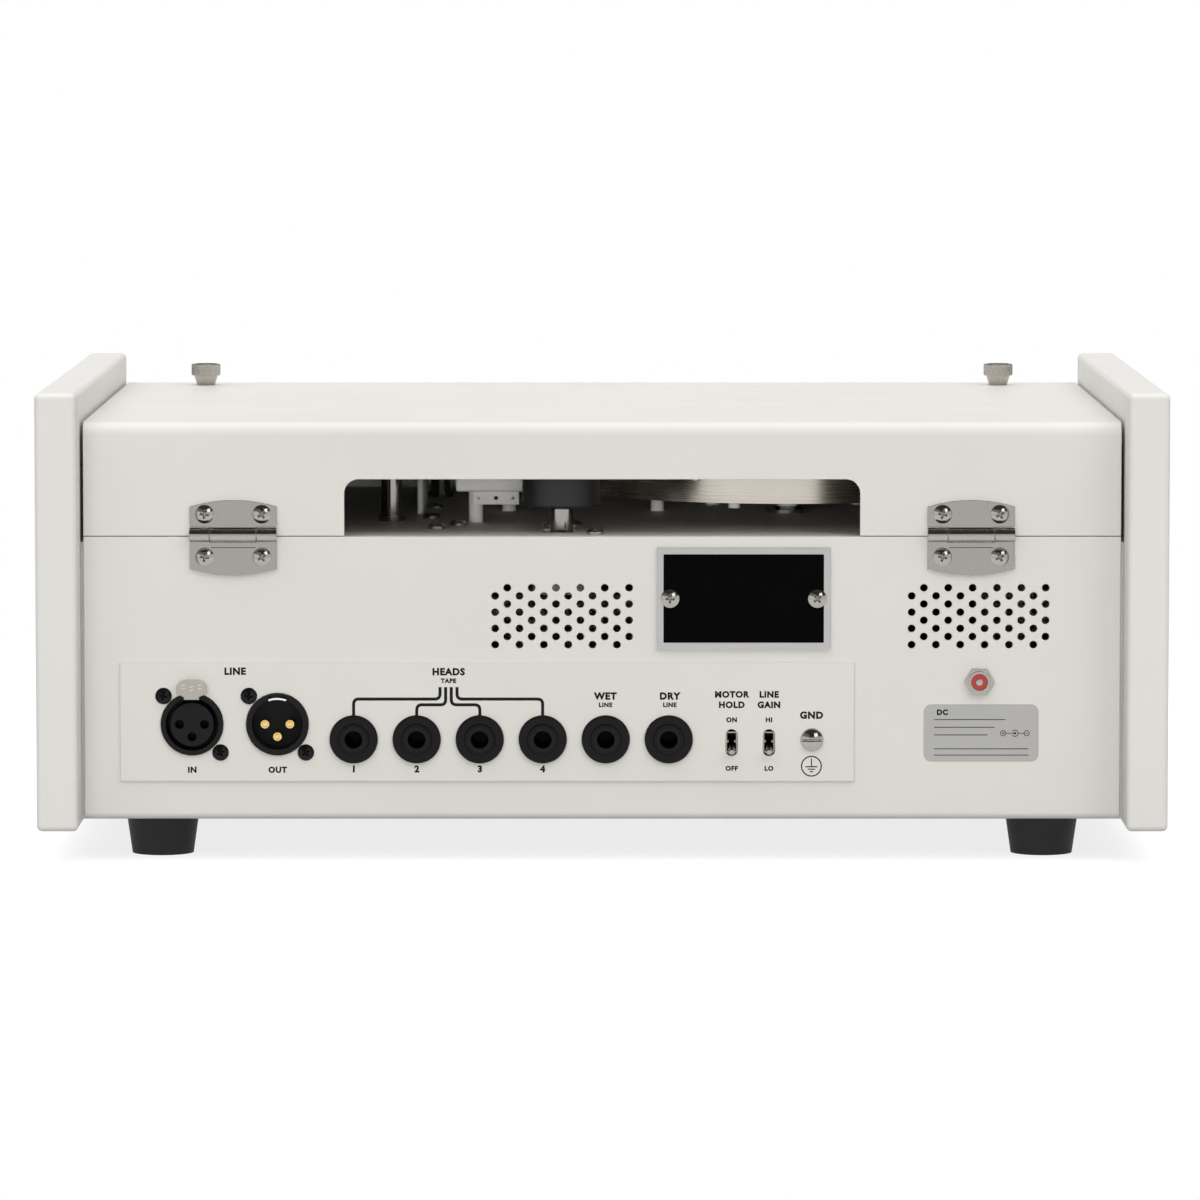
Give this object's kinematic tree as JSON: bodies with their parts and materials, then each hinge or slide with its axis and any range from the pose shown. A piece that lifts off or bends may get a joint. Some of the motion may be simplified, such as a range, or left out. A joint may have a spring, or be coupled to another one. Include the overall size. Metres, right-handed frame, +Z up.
{
  "type": "tape echo unit",
  "caption": "Desktop tape echo: folded sheet case between side boards, hinged windowed lid over a tape loop transport, rear line, head and jack sockets, front meter and knobs.",
  "frame": {"origin": "on the surface the feet stand on, midway between the ends of the side panels and midway across", "axes": "+Z up, front controls face -Y, rear sockets face +Y, width along X"},
  "size_m": [0.41, 0.29, 0.172],
  "materials": {
    "white_paint": "satin",
    "board_white": "painted satin",
    "black_plastic": "satin",
    "chrome": "polished",
    "brushed": "brushed",
    "gold": "polished",
    "red_plastic": "gloss",
    "rubber": "matte",
    "steel": "satin",
    "grey_plastic": "matte",
    "light_grey": "satin",
    "felt": "felt",
    "tape": "satin",
    "board_green": "satin",
    "white_plastic": "satin",
    "brass": "satin",
    "head_metal": "polished",
    "red_pointer": "matte"
  },
  "bodies": {
    "case": {"base_chassis": "white_paint", "side_panel_left": "board_white", "side_panel_right": "board_white", "front_panel": "white_paint", "deck_plate": "light_grey", "connector_plate": "white_paint", "nameplate": "brushed", "rubber_feet": "rubber", "chassis_screws": "steel", "hinge_base_leaves": "chrome", "panel_screws": "chrome", "lid_posts": "steel", "xlr_input_socket": "black_plastic", "xlr_output_socket": "black_plastic", "xlr_output_pins": "gold", "xlr_screws": "black_plastic", "jack_sockets": "black_plastic", "jack_nuts": "black_plastic", "toggle_switch_bodies": "black_plastic", "earth_terminal": "chrome", "dc_inlet": "chrome", "dc_inlet_insulator": "red_plastic", "tape_run": "tape", "drive_belt": "rubber", "tape_tray": "brushed", "tray_supports": "white_plastic", "tray_cover": "brushed", "deck_bearings": "brass", "drive_motor": "steel", "tape_guides": "chrome", "head_bridge": "light_grey", "erase_head": "black_plastic", "record_head": "head_metal", "playback_heads": "head_metal", "pressure_pad": "felt", "circuit_board": "board_green", "board_components": "black_plastic", "meter_case": "black_plastic", "control_bodies": "steel"},
    "lid": {"lid": "white_paint", "hinge_lid_leaves": "chrome", "hinge_lid_screws": "chrome"},
    "thumb_left": {"thumbscrew_left": "steel"},
    "thumb_right": {"thumbscrew_right": "steel"},
    "latch": {"xlr_latch": "grey_plastic"},
    "auto_stop": {"auto_stop_lever": "chrome"},
    "output_level": {"output_level_lever": "chrome"},
    "power_switch": {"power_switch_lever": "chrome"},
    "needle": {"meter_needle": "red_pointer"},
    "selector": {"mode_selector_knob": "black_plastic"},
    "input_knob": {"input_level_knob": "black_plastic"},
    "echo_knob": {"echo_level_knob": "black_plastic"},
    "repeat_control": {"repeat_knob": "black_plastic"},
    "speed_control": {"speed_knob": "black_plastic"},
    "capstan_wheel": {"capstan": "steel"},
    "pulley": {"motor_pulley": "brass"},
    "arm": {"pinch_arm": "chrome"},
    "roller": {"pinch_roller": "rubber"},
    "table": {"turntable": "white_plastic", "tape_pack": "tape"}
  },
  "joints": [
    {"name": "lid_hinge", "type": "hinge", "parent": "case", "child": "lid", "pos_m": [0, 0.1277, 0.1196], "axis": [-1, 0, 0], "range_deg": [0, 105]},
    {"name": "thumbscrew_left_turn", "type": "hinge", "parent": "lid", "child": "thumb_left", "pos_m": [-0.157, -0.121, 0.1605], "axis": [0, 0, 1], "continuous": true},
    {"name": "thumbscrew_right_turn", "type": "hinge", "parent": "lid", "child": "thumb_right", "pos_m": [0.157, -0.121, 0.1605], "axis": [0, 0, 1], "continuous": true},
    {"name": "latch_push", "type": "slide", "parent": "case", "child": "latch", "axis": [0, -1, 0], "range_m": [0, 0.0012], "stiffness_N_per_m": 300, "springref_m": -0.001},
    {"name": "auto_stop_throw", "type": "hinge", "parent": "case", "child": "auto_stop", "pos_m": [-0.0472, 0.1189, 0.0435], "axis": [1, 0, 0], "range_deg": [0, 30]},
    {"name": "output_level_throw", "type": "hinge", "parent": "case", "child": "output_level", "pos_m": [-0.0608, 0.1189, 0.0435], "axis": [1, 0, 0], "range_deg": [0, 30]},
    {"name": "power_throw", "type": "hinge", "parent": "case", "child": "power_switch", "pos_m": [0.166, -0.121, 0.084], "axis": [-1, 0, 0], "range_deg": [0, 24]},
    {"name": "needle_swing", "type": "hinge", "parent": "case", "child": "needle", "pos_m": [-0.118, -0.1253, 0.063], "axis": [0, 1, 0], "range_deg": [0, 90], "stiffness_Nm_per_rad": 0.00002},
    {"name": "selector_turn", "type": "hinge", "parent": "case", "child": "selector", "pos_m": [0.118, -0.1275, 0.08], "axis": [0, 1, 0], "range_deg": [-150, 150]},
    {"name": "input_level_turn", "type": "hinge", "parent": "case", "child": "input_knob", "pos_m": [-0.058, -0.1275, 0.08], "axis": [0, 1, 0], "range_deg": [-150, 150]},
    {"name": "echo_level_turn", "type": "hinge", "parent": "case", "child": "echo_knob", "pos_m": [-0.018, -0.1275, 0.08], "axis": [0, 1, 0], "range_deg": [-150, 150]},
    {"name": "repeat_turn", "type": "hinge", "parent": "case", "child": "repeat_control", "pos_m": [0.022, -0.1275, 0.08], "axis": [0, 1, 0], "range_deg": [-150, 150]},
    {"name": "speed_turn", "type": "hinge", "parent": "case", "child": "speed_control", "pos_m": [0.062, -0.1275, 0.08], "axis": [0, 1, 0], "range_deg": [-150, 150]},
    {"name": "capstan_spin", "type": "hinge", "parent": "case", "child": "capstan_wheel", "pos_m": [0.0149, 0.07575, 0.1], "axis": [0, 0, 1], "continuous": true},
    {"name": "pulley_spin", "type": "hinge", "parent": "case", "child": "pulley", "pos_m": [0.078, 0.07575, 0.1], "axis": [0, 0, 1], "continuous": true},
    {"name": "arm_release", "type": "hinge", "parent": "case", "child": "arm", "pos_m": [0.054, 0.1, 0.111], "axis": [0, 0, -1], "range_deg": [0, 8]},
    {"name": "roller_spin", "type": "hinge", "parent": "arm", "child": "roller", "pos_m": [0.0149, 0.094, 0.137], "axis": [0, 0, 1], "continuous": true},
    {"name": "table_spin", "type": "hinge", "parent": "case", "child": "table", "pos_m": [-0.0705, 0, 0.13], "axis": [0, 0, 1], "continuous": true}
  ],
  "couplings": [
    {"joint": "pulley_spin", "follows": "capstan_spin", "ratio": 4.2857},
    {"joint": "roller_spin", "follows": "capstan_spin", "ratio": -0.20761},
    {"joint": "table_spin", "follows": "capstan_spin", "ratio": 0.04878}
  ]
}
